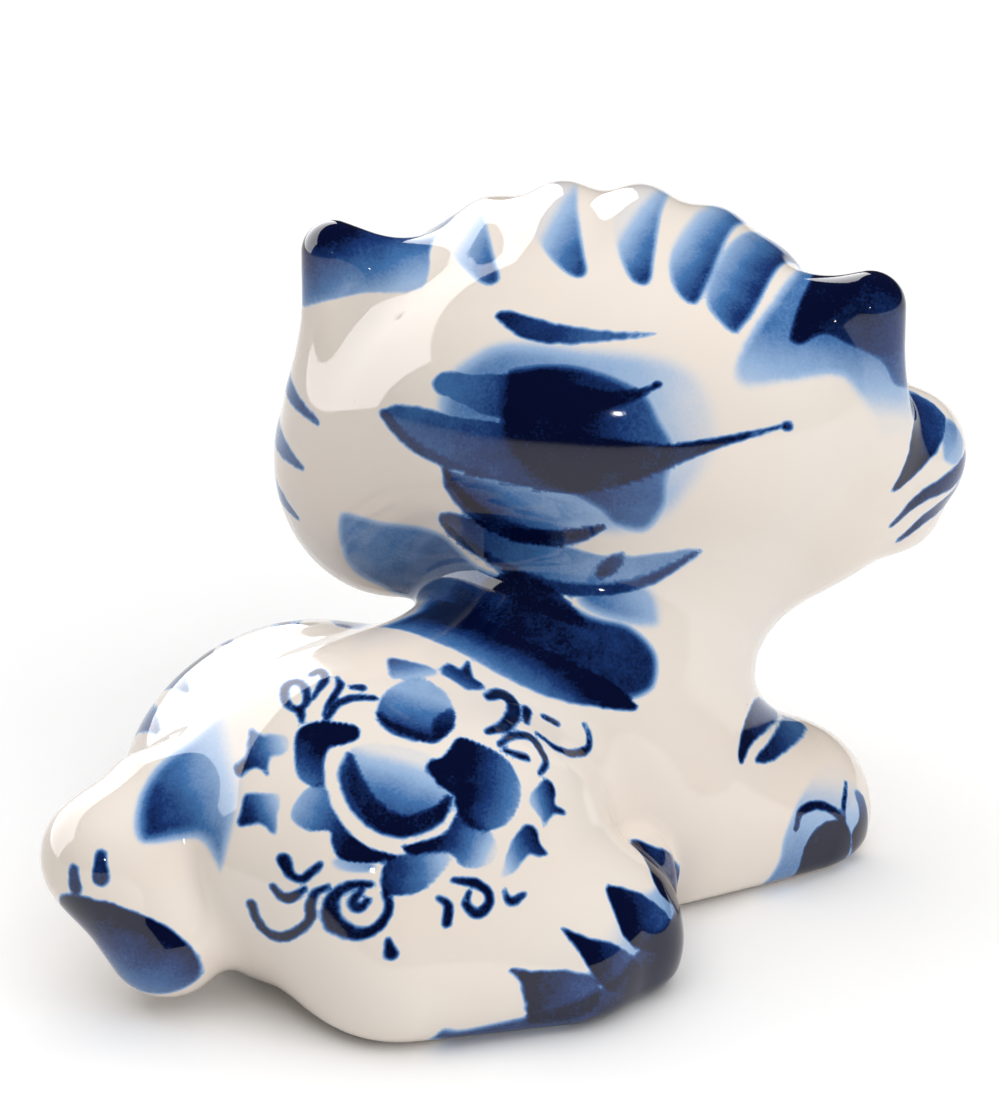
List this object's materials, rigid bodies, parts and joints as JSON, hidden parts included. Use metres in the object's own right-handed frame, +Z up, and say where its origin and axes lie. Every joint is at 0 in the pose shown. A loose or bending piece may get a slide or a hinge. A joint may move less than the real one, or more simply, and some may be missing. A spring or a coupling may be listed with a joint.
{
  "type": "kitten figurine",
  "caption": "Crouching glazed porcelain kitten with its head turned to the left, hand painted in cobalt blue with flowers, scrolls and stripes; stands flat on its base.",
  "frame": {"origin": "middle of the box around the kitten, on the floor that it stands on", "axes": "+X ahead over the front paws, +Y to the kitten's left, +Z up"},
  "size_m": [0.1054, 0.068, 0.0703],
  "materials": {
    "white_glaze": "gloss",
    "cobalt_glaze": "gloss",
    "cobalt_wash_glaze": "gloss"
  },
  "bodies": {
    "root": {"body_shell": "white_glaze", "head_shell": "white_glaze", "muzzle": "white_glaze", "left_front_leg": "white_glaze", "right_front_leg": "white_glaze", "left_ear": "cobalt_glaze", "right_ear": "cobalt_glaze", "forelock": "cobalt_wash_glaze", "tail": "cobalt_wash_glaze", "left_hind_paw": "cobalt_wash_glaze", "right_hind_paw": "cobalt_wash_glaze"}
  },
  "joints": []
}
